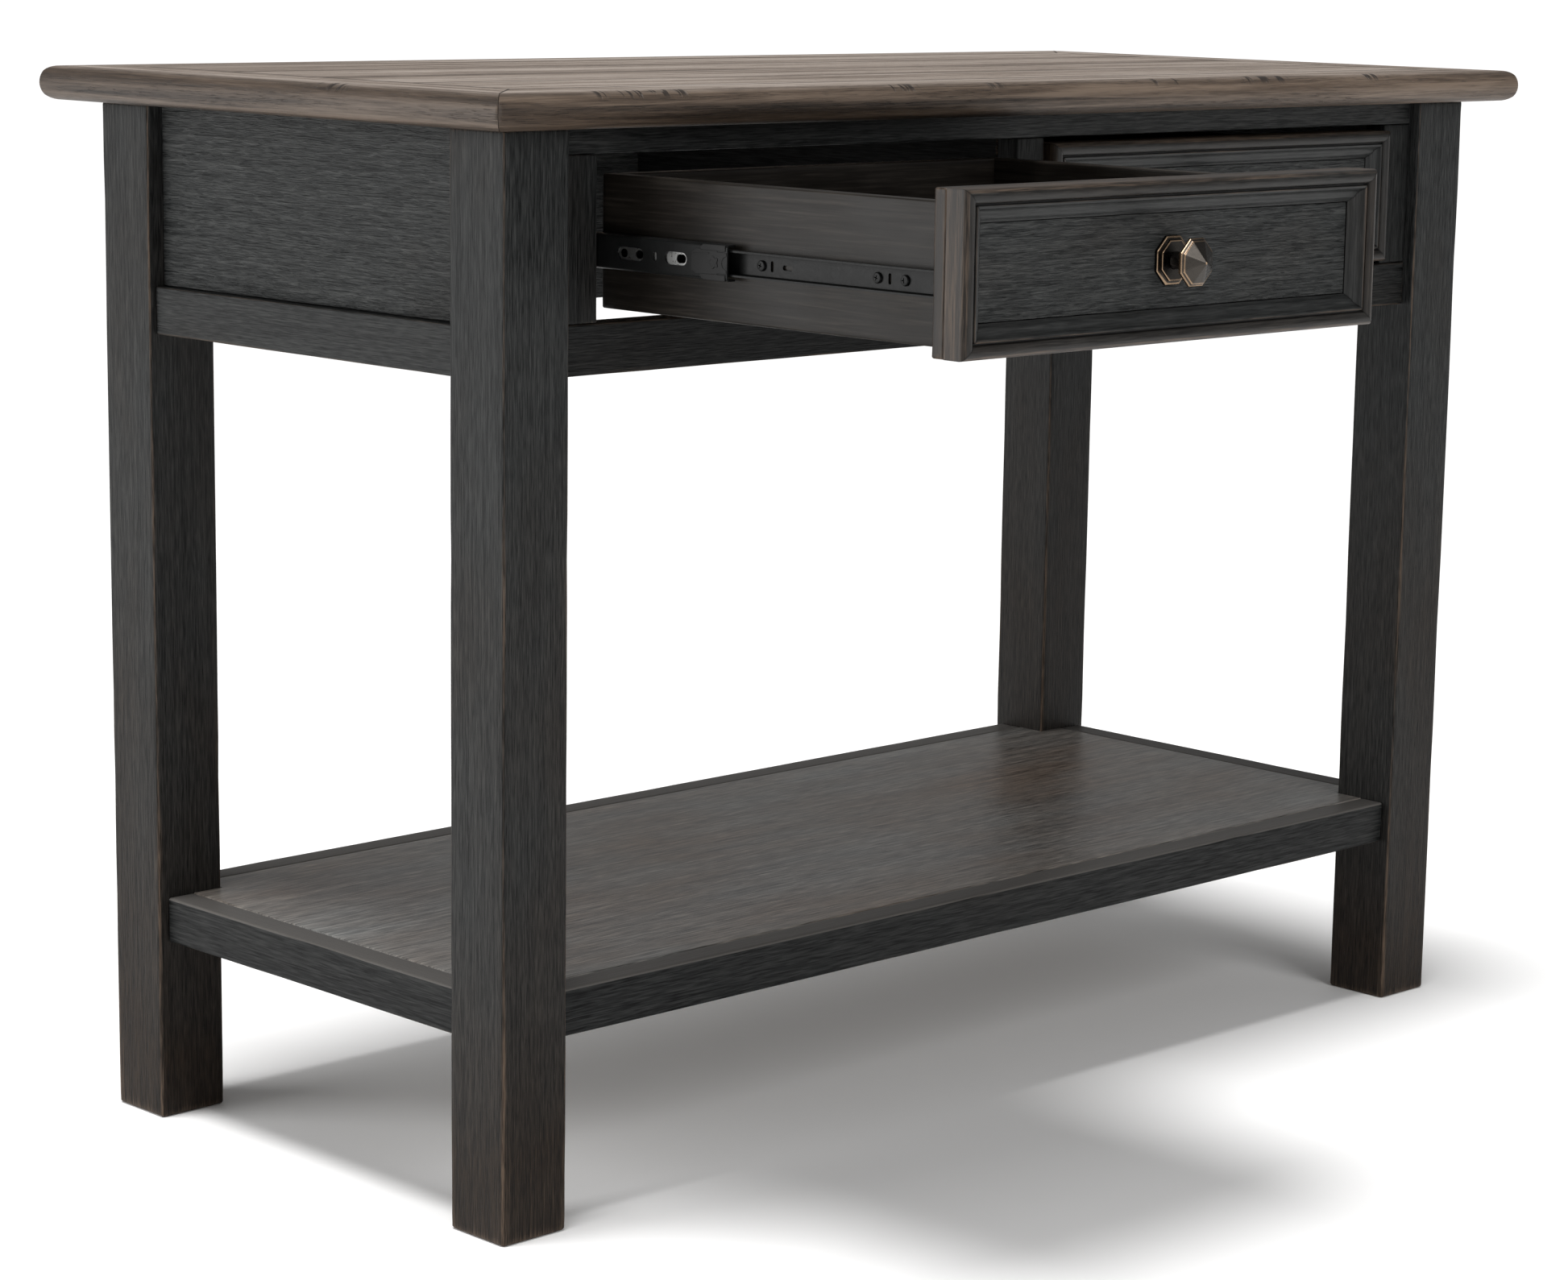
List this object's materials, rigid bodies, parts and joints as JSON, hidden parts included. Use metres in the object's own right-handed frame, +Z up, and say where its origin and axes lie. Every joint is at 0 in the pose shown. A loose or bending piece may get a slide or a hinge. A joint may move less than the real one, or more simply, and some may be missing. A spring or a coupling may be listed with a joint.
{
  "type": "console table",
  "caption": "Console table with a mitred plank top, square legs, drawers in a panelled case on full-extension ball slides, and a low open shelf.",
  "frame": {"origin": "on the floor, in the middle of the bounding box of the whole table with its left drawer fully open, which is 153 mm in front of the middle of the table's own footprint", "axes": "+X along the table to the right seen from the front, +Y from the front to the back, +Z up; the drawers open towards -Y"},
  "size_m": [1.067, 0.814, 0.762],
  "materials": {
    "weathered_top": "grey-brown weathered stain under a satin lacquer",
    "charcoal_paint": "charcoal wire-brushed paint, rubbed brown along the edges",
    "drawer_box": "dark brown-black stain, satin",
    "slide_steel": "black coated pressed steel",
    "rubbed_bronze": "oil-rubbed bronze with copper-gold edges"
  },
  "bodies": {
    "carcass": {"back_left_leg": "charcoal_paint", "back_panel": "charcoal_paint", "back_right_leg": "charcoal_paint", "centre_divider": "drawer_box", "centre_stile": "charcoal_paint", "front_left_leg": "charcoal_paint", "front_lower_rail": "charcoal_paint", "front_right_leg": "charcoal_paint", "front_top_rail": "charcoal_paint", "left_drawer_slide_left_cabinet_member": "slide_steel", "left_drawer_slide_right_cabinet_member": "slide_steel", "left_end_panel": "charcoal_paint", "left_end_rail": "charcoal_paint", "left_runner_block": "drawer_box", "left_stile": "charcoal_paint", "right_drawer_slide_left_cabinet_member": "slide_steel", "right_drawer_slide_right_cabinet_member": "slide_steel", "right_end_panel": "charcoal_paint", "right_end_rail": "charcoal_paint", "right_runner_block": "drawer_box", "right_stile": "charcoal_paint", "shelf_back_edge": "charcoal_paint", "shelf_board": "charcoal_paint", "shelf_front_edge": "charcoal_paint", "shelf_left_edge": "charcoal_paint", "shelf_right_edge": "charcoal_paint", "top_back_border": "weathered_top", "top_front_border": "weathered_top", "top_left_border": "weathered_top", "top_plank_1": "weathered_top", "top_plank_2": "weathered_top", "top_plank_3": "weathered_top", "top_plank_4": "weathered_top", "top_right_border": "weathered_top"},
    "left_drawer": {"left_drawer_box_back": "drawer_box", "left_drawer_box_bottom": "drawer_box", "left_drawer_box_left_side": "drawer_box", "left_drawer_box_right_side": "drawer_box", "left_drawer_front_backer": "charcoal_paint", "left_drawer_front_moulding": "charcoal_paint", "left_drawer_front_panel": "charcoal_paint", "left_drawer_knob": "rubbed_bronze", "left_drawer_knob_plate": "rubbed_bronze", "left_drawer_slide_left_drawer_member": "slide_steel", "left_drawer_slide_right_drawer_member": "slide_steel"},
    "left_drawer_middle_members": {"left_drawer_slide_left_middle_member": "slide_steel", "left_drawer_slide_right_middle_member": "slide_steel"},
    "right_drawer": {"right_drawer_box_back": "drawer_box", "right_drawer_box_bottom": "drawer_box", "right_drawer_box_left_side": "drawer_box", "right_drawer_box_right_side": "drawer_box", "right_drawer_front_backer": "charcoal_paint", "right_drawer_front_moulding": "charcoal_paint", "right_drawer_front_panel": "charcoal_paint", "right_drawer_knob": "rubbed_bronze", "right_drawer_knob_plate": "rubbed_bronze", "right_drawer_slide_left_drawer_member": "slide_steel", "right_drawer_slide_right_drawer_member": "slide_steel"},
    "right_drawer_middle_members": {"right_drawer_slide_left_middle_member": "slide_steel", "right_drawer_slide_right_middle_member": "slide_steel"}
  },
  "joints": [
    {"name": "left_drawer_slide", "type": "slide", "parent": "carcass", "child": "left_drawer", "axis": [0, -1, 0], "range_m": [-0.318, 0]},
    {"name": "left_middle_slide", "type": "slide", "parent": "carcass", "child": "left_drawer_middle_members", "axis": [0, -1, 0], "range_m": [-0.159, 0]},
    {"name": "right_drawer_slide", "type": "slide", "parent": "carcass", "child": "right_drawer", "axis": [0, -1, 0], "range_m": [0, 0.318]},
    {"name": "right_middle_slide", "type": "slide", "parent": "carcass", "child": "right_drawer_middle_members", "axis": [0, -1, 0], "range_m": [0, 0.159]}
  ],
  "couplings": [
    {"joint": "left_middle_slide", "follows": "left_drawer_slide", "ratio": 0.5},
    {"joint": "right_middle_slide", "follows": "right_drawer_slide", "ratio": 0.5}
  ]
}
